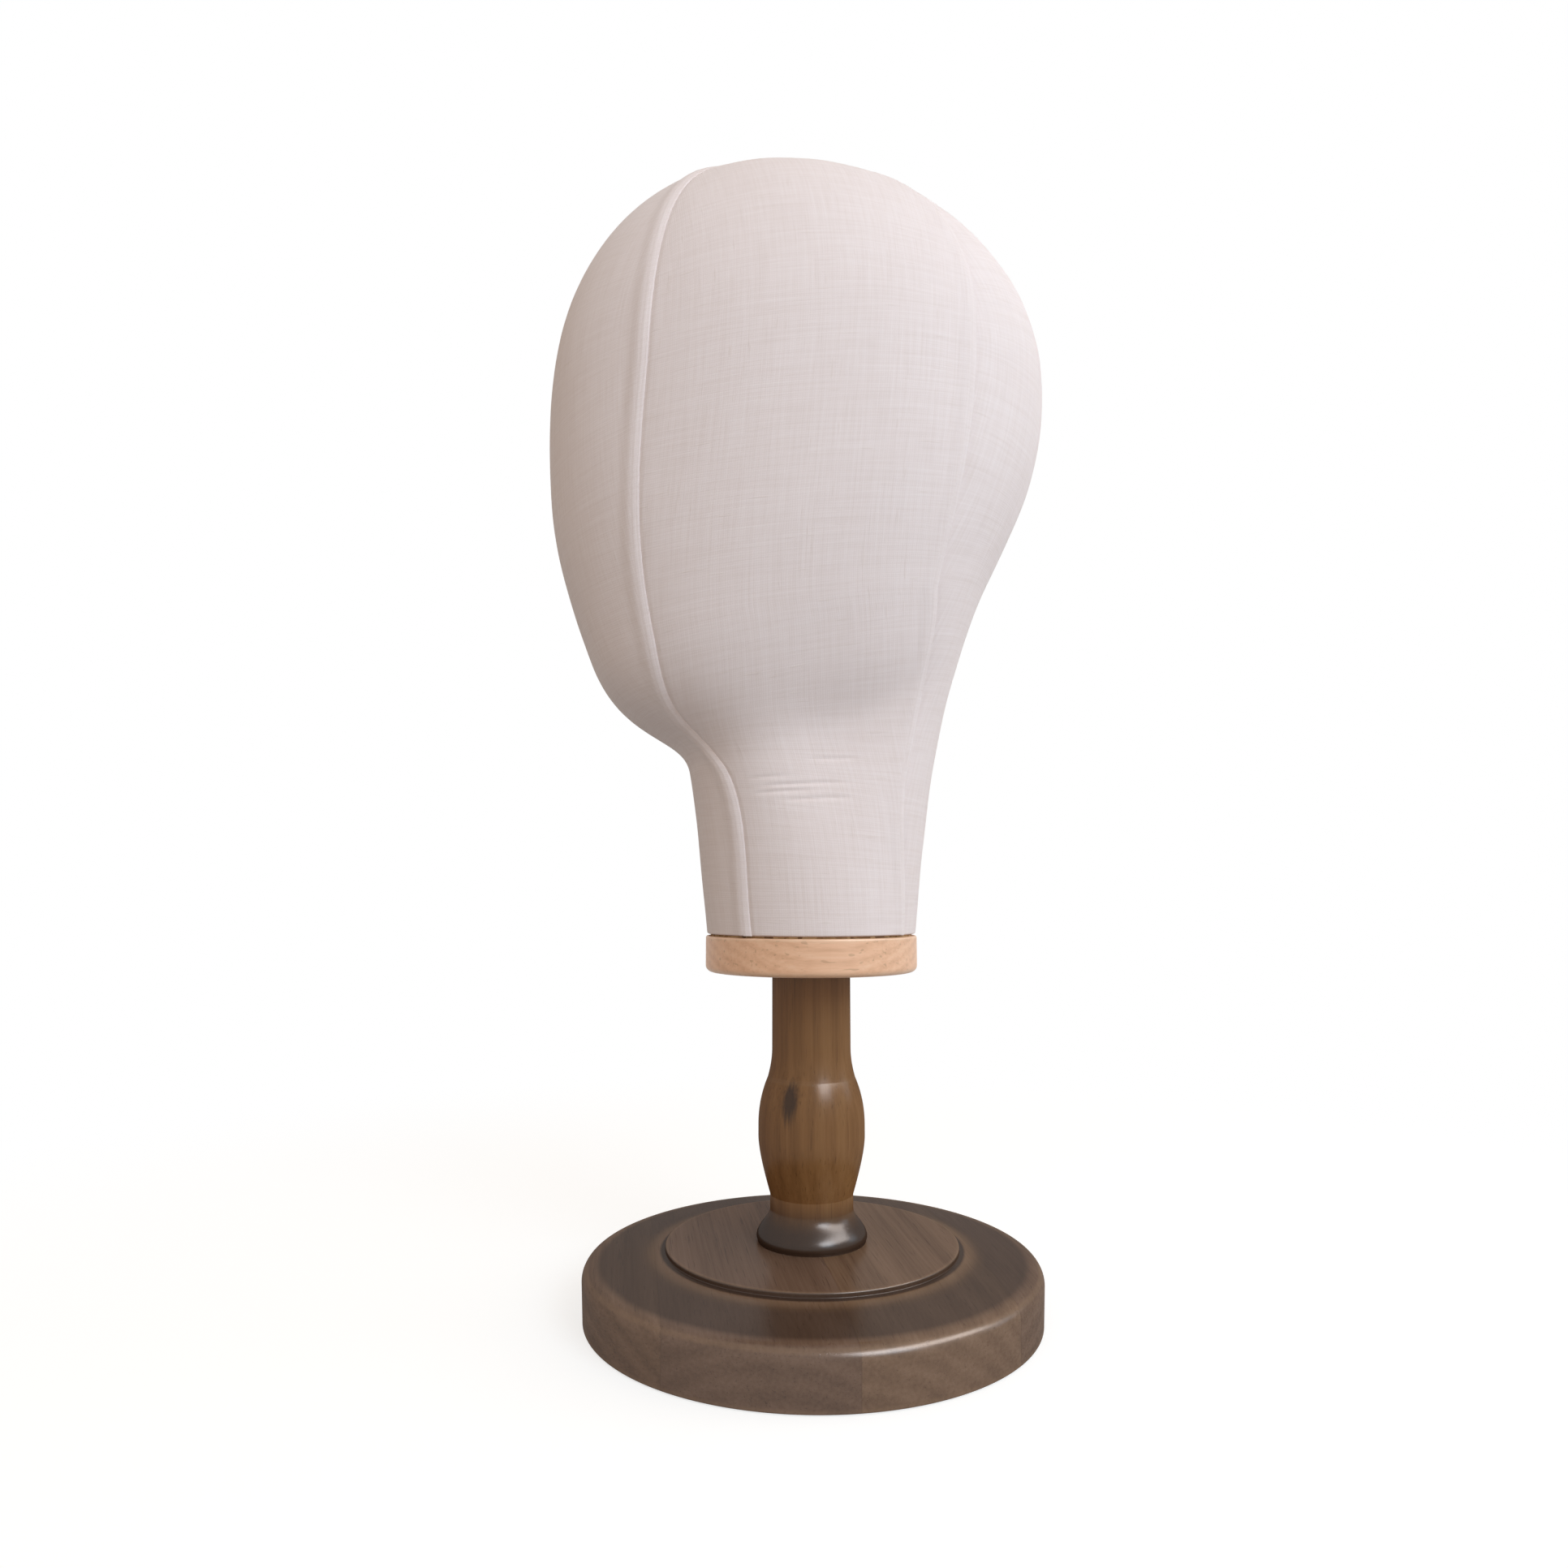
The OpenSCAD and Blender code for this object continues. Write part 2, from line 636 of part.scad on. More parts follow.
// The core that the canvas is drawn over, down to the neck plate, with the hole for the plug
module head_core() {
    off = -canvas_t - cover_gap;
    sides = 4 * panel_cols;
    ring_at = function (t) [for (panel = [0 : 3], a = panel_angles(t, panel)) head_point(t, a, off)];
    hem_ring = ring_at(0);
    points = concat(
        [for (p = hem_ring) [p[0], p[1], plate_z]],
        [for (t = rows, p = ring_at(t)) p],
        [[0, 0, plate_z], crown_point(off)]
    );
    rings = row_count + 1;
    bottom = rings * sides;
    top = bottom + 1;
    last = (rings - 1) * sides;
    faces = concat(
        flat([for (i = [0 : rings - 2], j = [0 : sides - 1]) let (
            a = i * sides + j,
            b = i * sides + (j + 1) % sides
        ) quad(a, a + sides, b + sides, b)]),
        [for (j = [0 : sides - 1]) [bottom, j, (j + 1) % sides]],
        [for (j = [0 : sides - 1]) [last + j, top, last + (j + 1) % sides]]
    );
    color("#b98d5e") difference() {
        polyhedron(points, faces);
        translate([0, 0, plate_z - end_room])
            cylinder(d = plug_d + 2 * glue_gap, h = plug_h + end_room + glue_gap);
    }
}

base_felt();
base_disc();
column();
base_bolt();
bolt_washer();
threaded_sleeve();
swivel_pin();
swivel_washer();
neck_bush();
neck_plate();
plate_screws();
neck_plug();
head_core();
face_panel();
left_panel();
back_panel();
right_panel();
left_front_seam();
left_back_seam();
right_back_seam();
right_front_seam();
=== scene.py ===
"""Looks of the wig stand: linen canvas over the head, a beech neck plate and a lacquered turned stand."""

import math

import bmesh
import bpy
import numpy as np
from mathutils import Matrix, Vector


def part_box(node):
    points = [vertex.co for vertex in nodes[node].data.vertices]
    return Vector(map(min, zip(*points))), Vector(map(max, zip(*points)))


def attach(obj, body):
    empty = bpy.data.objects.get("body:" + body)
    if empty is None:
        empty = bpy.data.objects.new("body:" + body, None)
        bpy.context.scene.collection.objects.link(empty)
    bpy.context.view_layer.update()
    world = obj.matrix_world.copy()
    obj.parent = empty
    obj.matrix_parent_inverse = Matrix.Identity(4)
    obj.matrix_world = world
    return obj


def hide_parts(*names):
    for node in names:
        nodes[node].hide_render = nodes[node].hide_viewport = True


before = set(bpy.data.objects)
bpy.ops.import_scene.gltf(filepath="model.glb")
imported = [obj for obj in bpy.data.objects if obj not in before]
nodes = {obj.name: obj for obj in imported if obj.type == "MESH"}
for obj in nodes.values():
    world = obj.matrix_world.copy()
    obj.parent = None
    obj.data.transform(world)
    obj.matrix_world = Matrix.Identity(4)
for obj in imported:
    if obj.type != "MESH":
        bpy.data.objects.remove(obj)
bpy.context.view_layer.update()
MM = 0.001

# Heights and radii of the seats, in millimetres, read from the pieces in model.glb
plinth_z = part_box("base_disc")[1].z / MM
column_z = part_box("column")[1].z / MM
washer_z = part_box("neck_plate")[0].z / MM
plate_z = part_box("neck_plate")[1].z / MM
tenon_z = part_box("column")[0].z / MM
pin_floor_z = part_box("swivel_pin")[0].z / MM
felt_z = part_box("base_felt")[1].z / MM
felt_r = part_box("base_felt")[1].x / MM
base_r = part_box("base_disc")[1].x / MM
plate_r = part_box("neck_plate")[1].x / MM

# Sizes of the turned pieces, in millimetres, as in the part's source
rim_z, rim_round, base_taper, base_bevel, base_lift = 20.8, 5, 0.6, 0.6, 0.4
plinth_r, plinth_h, plinth_round = 58, 2.2, 0.7
plinth_slope_w, plinth_slope_h = 1.3, 0.3
foot_r, waist_r, barrel_r, shoulder_r, shaft_r, tenon_r = 22, 16.6, 21.4, 17.65, 15.9, 13
foot_z, waist_low_z, waist_high_z = plinth_z + 1.9, plinth_z + 12.6, plinth_z + 18
barrel_low_z, barrel_high_z = plinth_z + 40.8, plinth_z + 45
shoulder_z, shaft_z = plinth_z + 63.4, plinth_z + 75
sleeve_r, sleeve_l, pin_r, bolt_hole_r, bolt_hole_l = 7, 22, 6, 4.3, 35
hole_fit = 0.05

# Camera, as the photograph was taken: lengths in millimetres, the azimuth counted from the face
camera_distance = 443
camera_height = 162.2
camera_azimuth = math.radians(80)
camera_pitch = 0.104386
camera_yaw = math.radians(1.434)
camera_lens, film_width, near_clip = 24.56, 36, 0.01


def camera_axes():
    """Level directions from the axis to the camera, and to the right of the picture."""
    to_camera = Vector((math.sin(camera_azimuth), -math.cos(camera_azimuth), 0))
    to_right = Vector((math.cos(camera_azimuth), math.sin(camera_azimuth), 0))
    return to_camera, to_right


def add_camera():
    to_camera, to_right = camera_axes()
    camera = bpy.data.objects.new("camera", bpy.data.cameras.new("camera"))
    bpy.context.scene.collection.objects.link(camera)
    camera.data.lens = camera_lens
    camera.data.sensor_width = film_width
    camera.data.clip_start = near_clip
    camera.location = camera_distance * MM * to_camera + Vector((0, 0, camera_height * MM))
    level = -math.cos(camera_yaw) * to_camera - math.sin(camera_yaw) * to_right
    aim = math.cos(camera_pitch) * level + Vector((0, 0, math.sin(camera_pitch)))
    camera.rotation_euler = aim.to_track_quat("-Z", "Y").to_euler()
    bpy.context.scene.camera = camera


# Materials


class Material:
    """A node material. Its helpers take numbers, colours, or the outputs of other nodes."""

    def __init__(self, name, **sockets):
        self.data = bpy.data.materials.new(name)
        self.data.use_nodes = True
        self.tree = self.data.node_tree
        self.shader = self.tree.nodes["Principled BSDF"]
        for socket, value in sockets.items():
            self.put(self.shader, socket.replace("_", " "), value)

    def put(self, node, socket, value):
        if isinstance(value, bpy.types.NodeSocket):
            self.tree.links.new(value, node.inputs[socket])
        elif isinstance(node.inputs[socket].default_value, float):
            node.inputs[socket].default_value = value
        else:
            size = len(node.inputs[socket].default_value)
            node.inputs[socket].default_value = (*value, 1)[:size]

    def add(self, kind, inputs, out=0, **settings):
        node = self.tree.nodes.new("ShaderNode" + kind)
        for setting, value in settings.items():
            setattr(node, setting, value)
        for socket, value in inputs.items():
            self.put(node, socket, value)
        return node.outputs[out]

    def finish(self, **sockets):
        for socket, value in sockets.items():
            self.put(self.shader, socket.replace("_", " "), value)
        return self.data

    def place(self):
        return self.add("TexCoord", {}, "Object")

    def parts(self, vector):
        split = self.tree.nodes.new("ShaderNodeSeparateXYZ")
        self.put(split, 0, vector)
        return split.outputs[0], split.outputs[1], split.outputs[2]

    def vector(self, x=0.0, y=0.0, z=0.0):
        return self.add("CombineXYZ", {0: x, 1: y, 2: z})

    def stretch(self, vector, by):
        return self.add("VectorMath", {0: vector, 1: by}, operation="MULTIPLY")

    def math(self, operation, a, b=0.0, clamp=False):
        return self.add("Math", {0: a, 1: b}, operation=operation, use_clamp=clamp)

    def times(self, a, b):
        return self.math("MULTIPLY", a, b)

    def length(self, vector):
        return self.add("VectorMath", {0: vector}, "Value", operation="LENGTH")

    def radius(self, x, y):
        """Distance from the upright axis."""
        return self.length(self.vector(x, y, 0.0))

    def noise(self, vector, scale=1.0, detail=2.0, roughness=0.5):
        values = {"Vector": vector, "Scale": scale, "Detail": detail, "Roughness": roughness}
        return self.add("TexNoise", values)

    def step(self, value, low, high):
        """0 below low, 1 above high, and smooth between; low may be the greater one."""
        values = {"Value": value, 1: low, 2: high, 3: 0.0, 4: 1.0}
        return self.add("MapRange", values, interpolation_type="SMOOTHSTEP")

    def between(self, value, rise, fall):
        """1 where a value is past its rise and before its fall, each as (where it is 0, where it is 1)."""
        return self.times(self.step(value, *rise), self.step(value, *fall))

    def range(self, value, low, high):
        """A value from 0 to 1 spread from low to high."""
        return self.add("MapRange", {"Value": value, 3: low, 4: high})

    def mix(self, share, a, b, blend="MIX"):
        return self.add("Mix", {0: share, 6: a, 7: b}, 2, data_type="RGBA", blend_type=blend)

    def tint(self, colour, mask, share, other):
        """A colour mixed by a share with another one where the mask is 1."""
        return self.mix(self.times(mask, share), colour, other)

    def ramp(self, value, *stops):
        node = self.tree.nodes.new("ShaderNodeValToRGB")
        elements = node.color_ramp.elements
        while len(elements) < len(stops):
            elements.new(0.5)
        for element, (at, colour) in zip(elements, stops):
            element.position = at
            element.color = (*colour, 1)
        self.put(node, 0, value)
        return node.outputs[0]

    def bump(self, height, depth, strength=1.0):
        return self.add("Bump", {"Height": height, "Distance": depth, "Strength": strength})


LINEN = ((0.32, (0.79, 0.69, 0.68)), (0.5, (0.84, 0.745, 0.745)), (0.68, (0.88, 0.795, 0.80)))
LINEN_SLUB, LINEN_BLOTCH = (0.71, 0.60, 0.56), (0.82, 0.72, 0.715)
thread_pitch, thread_drift = 0.00085, 0.0006


def canvas_material():
    """Plain-woven linen: a fine weave, uneven threads both ways, slubs, and a soft nap."""
    m = Material("canvas", Roughness=0.92, Specular_IOR_Level=0.2, Sheen_Weight=0.2, Sheen_Roughness=0.5)
    cloth = m.add("Attribute", {}, "Vector", attribute_name="cloth")
    drift = m.range(m.noise(cloth, 70, 1), -thread_drift, thread_drift)
    u, v, _ = m.parts(m.add("VectorMath", {0: cloth, 1: drift}, operation="ADD"))
    wave_u = m.math("SINE", m.times(u, math.pi / thread_pitch))
    wave_v = m.math("SINE", m.times(v, math.pi / thread_pitch))
    over = m.math("MULTIPLY_ADD", m.times(wave_u, wave_v), 1.5, True)
    over.node.inputs[2].default_value = 0.5
    weave = m.add("Mix", {0: over, 2: m.math("ABSOLUTE", wave_u), 3: m.math("ABSOLUTE", wave_v)})
    warp = m.noise(m.stretch(cloth, (1000, 34, 60)), 1, 2.5, 0.6)
    weft = m.noise(m.stretch(cloth, (34, 1000, 40)), 1, 2.5, 0.6)
    warp_slub = m.step(m.noise(m.stretch(cloth, (700, 80, 31)), 1, 1), 0.68, 0.80)
    weft_slub = m.step(m.noise(m.stretch(cloth, (80, 700, 23)), 1, 1), 0.68, 0.80)
    threads = m.times(m.math("ADD", warp, weft), 0.5)
    blotch = m.noise(cloth, 14, 2)
    slub = m.math("MAXIMUM", warp_slub, weft_slub)
    colour = m.tint(m.ramp(threads, *LINEN), slub, 0.25, LINEN_SLUB)
    colour = m.mix(m.range(blotch, 0, 0.35), colour, LINEN_BLOTCH)
    relief = m.math("ADD", threads, m.times(slub, 0.5))
    height = m.math("ADD", m.times(weave, 0.4), relief)
    return m.finish(Base_Color=colour, Normal=m.bump(height, 0.00014, 0.5))


wear_from, wear_to = 0.0016, 0.0004


def wear_mask(m, place, edges):
    """How near a point of a turned piece is to its worn edges, given as (radius, height) in millimetres."""
    x, y, z = m.parts(place)
    level = m.radius(x, y)
    rubbed = m.range(m.noise(place, 160, 3), 0.2, 1.1)
    mask = 0.0
    for radius, height in edges:
        across = m.math("SUBTRACT", level, radius * MM)
        up = m.math("SUBTRACT", z, height * MM)
        away = m.length(m.vector(across, up, 0.0))
        mask = m.math("MAXIMUM", m.step(away, wear_from, wear_to), mask)
    return m.times(mask, rubbed)


def wood_colour(m, grain, palette, ring_pitch, ring_drift, pore=0.35):
    """Growth rings, fibres and pores in wood whose grain runs along z of the grain coordinates."""
    dark, middle, light = palette
    x, y, _ = m.parts(grain)
    drift = m.range(m.noise(m.stretch(grain, (30, 30, 5)), 1, 2), -ring_drift, ring_drift)
    turns = m.times(m.math("ADD", m.radius(x, y), drift), 2 * math.pi / ring_pitch)
    rings = m.range(m.math("SINE", turns), 0.0, 1.0)
    rings.node.inputs[1].default_value = -1
    fibre = m.noise(m.stretch(grain, (700, 700, 14)), 1, 4, 0.6)
    cloud = m.noise(m.stretch(grain, (55, 55, 9)), 1, 2)
    tone = m.math("ADD", m.times(rings, 0.12), m.times(fibre, 0.5))
    tone = m.math("ADD", tone, m.times(cloud, 0.35))
    colour = m.ramp(tone, (0.25, dark), (0.5, middle), (0.75, light))
    pores = m.step(m.noise(m.stretch(grain, (1500, 1500, 55)), 1, 1), 0.63, 0.74)
    return m.tint(colour, pores, pore, tuple(0.4 * c for c in dark)), fibre, pores


def lacquered(m, colour, fibre, pores, sheen=0.45, **coat):
    """A brushed lacquer over the wood: nearly level, with the pores just showing through."""
    height = m.math("SUBTRACT", m.times(fibre, 0.3), m.times(pores, 0.5))
    rough = m.range(fibre, sheen - 0.06, sheen + 0.08)
    bump = m.bump(height, 0.00006, 0.5)
    return m.finish(Base_Color=colour, Roughness=rough, Normal=bump, Coat_Normal=bump, **coat)


COLUMN_STAIN = ((0.140, 0.064, 0.022), (0.205, 0.098, 0.036), (0.250, 0.130, 0.052))
BASE_STAIN = ((0.104, 0.062, 0.041), (0.164, 0.102, 0.069), (0.215, 0.140, 0.100))
BOARD_TINTS = ((0.0, (0.86, 0.84, 0.88)), (1.0, (1.12, 1.08, 0.98)))
# Dark brown of the knot, also used as painted shade on the column's foot and in the base's hollow and groove;
# warm brown of a painted highlight ring
KNOT_AND_SHADE_BROWN, PAINTED_HIGHLIGHT_BROWN = (0.035, 0.020, 0.014), (0.21, 0.125, 0.065)
COLUMN_WORN, BASE_WORN, BEECH_WORN = (0.26, 0.16, 0.09), (0.27, 0.17, 0.10), (0.82, 0.62, 0.45)
LACQUER = {"Specular_IOR_Level": 0.0, "Coat_IOR": 3.0, "Coat_Roughness": 0.25}
BEECH = ((0.64, 0.345, 0.20), (0.80, 0.475, 0.30), (0.88, 0.585, 0.40))
BEECH_FLECK = (0.40, 0.22, 0.12)
BASE_EDGES = [(57.8, plinth_z), (88.4, 19.2), (89.3, 0.8)]

# Bands painted on top of the base, as radii in metres where each comes in and where it ends: painted shade in
# the hollow and in the groove, a painted highlight in the ring
HOLLOW_SHADE = ((0.060, 0.066), (0.086, 0.082))
HIGHLIGHT_RING = ((0.0585, 0.0605), (0.069, 0.061))
GROOVE_SHADE = ((0.0576, 0.0581), (0.0606, 0.0592))
hollow_shade_z = (0.019, 0.0205)

# The pith beside the column, its knot and the width of the boards of the base, in metres
column_pith = (0.012, 0.05, 0)
knot_at = (0.0164, -0.0115, (plinth_z + 57.5) * MM)
board_w = 0.062


def column_material():
    """Stained wood turned along the grain, with the pith outside the column, a knot, and a foot painted
    darker as shade.
    """
    m = Material("column_walnut", **LACQUER)
    place = m.place()
    grain = m.add("VectorMath", {0: place, 1: column_pith}, operation="ADD")
    colour, fibre, pores = wood_colour(m, grain, COLUMN_STAIN, 0.0065, 0.004)
    worn = wear_mask(m, place, [(shaft_r, column_z), (shoulder_r, shoulder_z)])
    colour = m.tint(colour, worn, 0.25, COLUMN_WORN)
    knot = m.add("VectorMath", {0: place, 1: knot_at}, operation="SUBTRACT")
    from_knot = m.length(m.stretch(knot, (1, 1, 0.3)))
    from_knot = m.math("ADD", from_knot, m.range(fibre, -0.0015, 0.0015))
    colour = m.tint(colour, m.step(from_knot, 0.0042, 0.0016), 0.85, KNOT_AND_SHADE_BROWN)
    # Painted shade: towards the plinth the foot is darkened nearly to the knot's brown, and its coat weight
    # rises
    low = m.step(m.parts(place)[2], (plinth_z + 20) * MM, (plinth_z + 6) * MM)
    colour = m.tint(colour, low, 0.95, KNOT_AND_SHADE_BROWN)
    return lacquered(m, colour, fibre, pores, Coat_Weight=m.range(low, 0.075, 0.105))


def base_material():
    """Stained boards glued edge to edge, so that tone and rings change at each joint, with painted shade in
    the top's hollow and round the plinth, and a painted highlight ring.
    """
    m = Material("base_walnut", Coat_Weight=0.115, **LACQUER)
    place = m.place()
    x, y, z = m.parts(place)
    across = m.math("DIVIDE", y, board_w)
    board = m.math("FLOOR", across)
    tone = m.math("FRACT", m.math("ADD", m.times(board, 0.6), 0.8))
    inside = m.math("SUBTRACT", y, m.times(board, board_w))
    local = m.math("ADD", inside, m.range(tone, -0.05, 0.02))
    grain = m.vector(local, m.math("ADD", z, 0.045), m.math("ADD", x, board))
    colour, fibre, pores = wood_colour(m, grain, BASE_STAIN, 0.0075, 0.004)
    colour = m.mix(1.0, colour, m.ramp(tone, *BOARD_TINTS), "MULTIPLY")
    to_joint = m.math("ABSOLUTE", m.math("SUBTRACT", m.math("FRACT", m.math("ADD", across, 0.5)), 0.5))
    colour = m.tint(colour, m.step(to_joint, 0.006, 0.001), 0.45, BASE_STAIN[0])
    colour = m.tint(colour, wear_mask(m, place, BASE_EDGES), 0.35, BASE_WORN)
    level = m.radius(x, y)
    # Painted shade: the hollow of the top between the plinth and the rim is darkened for the shade there
    hollow = m.times(m.between(level, *HOLLOW_SHADE), m.step(z, *hollow_shade_z))
    colour = m.tint(colour, hollow, 0.65, KNOT_AND_SHADE_BROWN)
    # Painted highlight: a lighter warm ring just outside the groove
    colour = m.tint(colour, m.between(level, *HIGHLIGHT_RING), 0.3, PAINTED_HIGHLIGHT_BROWN)
    # Painted shade: a dark band in the groove at the foot of the plinth
    colour = m.tint(colour, m.between(level, *GROOVE_SHADE), 0.85, KNOT_AND_SHADE_BROWN)
    return lacquered(m, colour, fibre, pores)


def beech_material():
    """Pale waxed beech with its grain along y and the short dark flecks of that wood."""
    m = Material("beech", Coat_Weight=0.1, Coat_Roughness=0.35)
    place = m.place()
    x, y, z = m.parts(place)
    grain = m.vector(m.math("ADD", x, 0.03), m.math("SUBTRACT", z, 0.03), y)
    colour, fibre, pores = wood_colour(m, grain, BEECH, 0.0042, 0.002, 0.12)
    fleck = m.step(m.noise(m.stretch(grain, (1100, 700, 170)), 1, 0.5), 0.67, 0.75)
    colour = m.tint(colour, fleck, 0.4, BEECH_FLECK)
    worn = wear_mask(m, place, [(plate_r, plate_z), (plate_r - 0.8, washer_z + 0.8)])
    colour = m.tint(colour, worn, 0.45, BEECH_WORN)
    return lacquered(m, colour, fibre, pores, sheen=0.46)


def felt_material():
    m = Material("felt", Roughness=1.0, Specular_IOR_Level=0.1, Sheen_Weight=0.4, Sheen_Roughness=0.6)
    place = m.place()
    fuzz = m.noise(place, 900, 4, 0.7)
    colour = m.ramp(fuzz, (0.3, (0.030, 0.025, 0.021)), (0.7, (0.085, 0.070, 0.060)))
    return m.finish(Base_Color=colour, Normal=m.bump(fuzz, 0.0004))


def cork_material():
    m = Material("cork", Roughness=0.9)
    grains = m.add("TexVoronoi", {"Vector": m.place(), "Scale": 420}, "Color")
    tone = m.parts(grains)[0]
    colour = m.ramp(tone, (0.0, (0.20, 0.11, 0.05)), (0.5, (0.45, 0.28, 0.14)), (1.0, (0.56, 0.38, 0.21)))
    return m.finish(Base_Color=colour, Normal=m.bump(tone, 0.0003))


def leather_material():
    m = Material("leather", Roughness=0.55)
    place = m.place()
    cells = m.add("TexVoronoi", {"Vector": place, "Scale": 1100}, "Distance")
    colour = m.ramp(m.noise(place, 180, 3), (0.3, (0.045, 0.022, 0.012)), (0.7, (0.11, 0.055, 0.03)))
    return m.finish(Base_Color=colour, Normal=m.bump(cells, 0.0002))


def metal_material(name, dark, light):
    """Turned metal: fine rings left by the tool, and a little dulling."""
    m = Material(name, Metallic=1.0)
    place = m.place()
    marks = m.noise(m.stretch(place, (60, 60, 5200)), 1, 2)
    dull = m.noise(place, 140, 3)
    colour = m.ramp(dull, (0.3, dark), (0.7, light))
    rough = m.math("ADD", m.range(marks, 0.16, 0.34), m.range(dull, -0.04, 0.08))
    return m.finish(Base_Color=colour, Roughness=rough, Normal=m.bump(marks, 0.00003, 0.5))


# Turned wooden pieces; their edges are sharp where the outline turns by more than this

sharp_angle = math.radians(6.5)


def arc(x, z, radius, start, end, steps=20):
    angles = np.radians(np.linspace(start, end, steps + 1))
    return [(x + radius * math.cos(a), z + radius * math.sin(a)) for a in angles]


def swell(r0, z0, r1, z1, steps=28):
    """A smooth run from one radius to another, without its first point."""
    shares = [(k / steps, (1 - math.cos(math.pi * k / steps)) / 2) for k in range(1, steps + 1)]
    return [(r0 + (r1 - r0) * s, z0 + (z1 - z0) * u) for u, s in shares]


def lathe(name, outline, closed, segments=224):
    """A solid turned about Z from (radius, height) points in millimetres, sharp where the outline turns."""
    turn = np.linspace(0, 2 * math.pi, segments, endpoint=False)
    ring = np.stack([np.cos(turn), np.sin(turn), np.zeros(segments)], 1)
    points = np.array(outline)
    verts = np.concatenate([ring * r * MM + (0, 0, z * MM) for r, z in points])
    count = len(points)
    bands = count if closed else count - 1
    faces = []
    for i in range(bands):
        low, high = i * segments, (i + 1) % count * segments
        for k in range(segments):
            n = (k + 1) % segments
            faces.append((low + k, low + n, high + n, high + k))
    mesh = bpy.data.meshes.new(name)
    mesh.from_pydata(verts.tolist(), [], faces)
    shape = bmesh.new()
    shape.from_mesh(mesh)
    bmesh.ops.remove_doubles(shape, verts=shape.verts, dist=1e-7)
    bmesh.ops.recalc_face_normals(shape, faces=shape.faces)
    for face in shape.faces:
        face.smooth = True
    for edge in shape.edges:
        edge.smooth = len(edge.link_faces) < 2 or edge.calc_face_angle() < sharp_angle
    shape.to_mesh(mesh)
    shape.free()
    return link(name, mesh)


def link(name, mesh):
    piece = bpy.data.objects.new(name, mesh)
    bpy.context.scene.collection.objects.link(piece)
    return piece


def base_outline():
    top_z = plinth_z - plinth_h
    tenon_hole_r, tenon_floor_z = tenon_r + hole_fit, tenon_z - 1
    recess_r, recess_z, felt_hole_r = 12.5, felt_z + 7.2, felt_r + hole_fit
    slope_r, ease_w, ease_h, corner_r, corner_h = plinth_r + plinth_slope_w, 0.5, 0.05, 0.25, 0.2
    rim_in = base_r - rim_round
    rim_slope = math.degrees(math.atan2(top_z - rim_z, rim_in - plinth_r))
    lower_r = base_r - base_taper
    return (
        [(bolt_hole_r, recess_z), (recess_r, recess_z), (recess_r, felt_z)]
        + [(felt_hole_r, felt_z), (felt_hole_r, base_lift)]
        + arc(lower_r - base_bevel, base_lift + base_bevel, base_bevel, -90, 0, 16)
        + arc(rim_in, rim_z - rim_round, rim_round, 0, 90 - rim_slope, 24)
        + [(slope_r + ease_w, top_z - ease_h), (slope_r, top_z)]
        + arc(plinth_r + corner_r, top_z + plinth_slope_h + corner_h, corner_r, 240, 180, 12)
        + arc(plinth_r - plinth_round, plinth_z - plinth_round, plinth_round, 0, 90)
        + [(tenon_hole_r, plinth_z), (tenon_hole_r, tenon_floor_z), (bolt_hole_r, tenon_floor_z)]
    )


def bow(r0, z0, r1, z1, bend, steps=22):
    """Points between the ends of a curve that leaves its first radius upright and comes in at a slant."""
    shares = [k / steps for k in range(1, steps)]
    return [(r0 + (r1 - r0) * u * u, z0 + (z1 - z0) * (2 * bend * u * (1 - u) + u * u)) for u in shares]


def column_outline():
    foot_tuck, top_edge = 0.5, 0.5
    foot_bend, shoulder_bend, shaft_bend = 0.3, 0.53, 0.47
    sleeve_hole_r, pin_hole_r = sleeve_r + hole_fit, pin_r + hole_fit
    outside = (
        [(tenon_r, tenon_z), (tenon_r, plinth_z), (foot_r - foot_tuck, plinth_z)]
        + swell(foot_r - foot_tuck, plinth_z, foot_r, foot_z, 14)
        + swell(foot_r, foot_z, waist_r, waist_low_z)
        + [(waist_r, waist_high_z)]
        + bow(barrel_r, barrel_low_z, waist_r, waist_high_z, foot_bend)[::-1]
        + [(barrel_r, barrel_low_z), (barrel_r, barrel_high_z)]
        + bow(barrel_r, barrel_high_z, shoulder_r, shoulder_z, shoulder_bend)
        + [(shoulder_r, shoulder_z)]
        + bow(shaft_r, shaft_z, shoulder_r, shoulder_z, shaft_bend)[::-1]
        + [(shaft_r, shaft_z)]
        + arc(shaft_r - top_edge, column_z - top_edge, top_edge, 0, 90, 18)
    )
    pin_hole = [(pin_hole_r, column_z), (pin_hole_r, pin_floor_z), (0, pin_floor_z)]
    bolt_hole = [
        (0, tenon_z + bolt_hole_l), (bolt_hole_r, tenon_z + bolt_hole_l), (bolt_hole_r, tenon_z + sleeve_l),
        (sleeve_hole_r, tenon_z + sleeve_l), (sleeve_hole_r, tenon_z),
    ]
    return bolt_hole + outside + pin_hole


def add_turned_pieces():
    for node, outline, closed, material in (
        ("base_disc", base_outline(), True, base_material()),
        ("column", column_outline(), False, column_material()),
    ):
        piece = lathe("turned_" + node, outline, closed)
        piece.data.materials.append(material)
        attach(piece, "stand")
        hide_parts(node)


# The canvas head, in millimetres: closed sections from the hem to the crown

hem_gap, neck_r = 0.8, plate_r - 0.5
crown_out = 11
crown_z = plate_z + 326.5


def handle(length, angle):
    return length * np.array([math.cos(math.radians(angle)), math.sin(math.radians(angle))])


def side_view(knots):
    """Bezier chain through (reach, height) knots, each with its angle and its handles below and above."""
    chain = []
    for (p, angle_p, _, above), (q, angle_q, below, _) in zip(knots, knots[1:]):
        p, q = np.array(p, float), np.array(q, float)
        chain.append((p, p + handle(above, angle_p), q - handle(below, angle_q), q))
    return chain


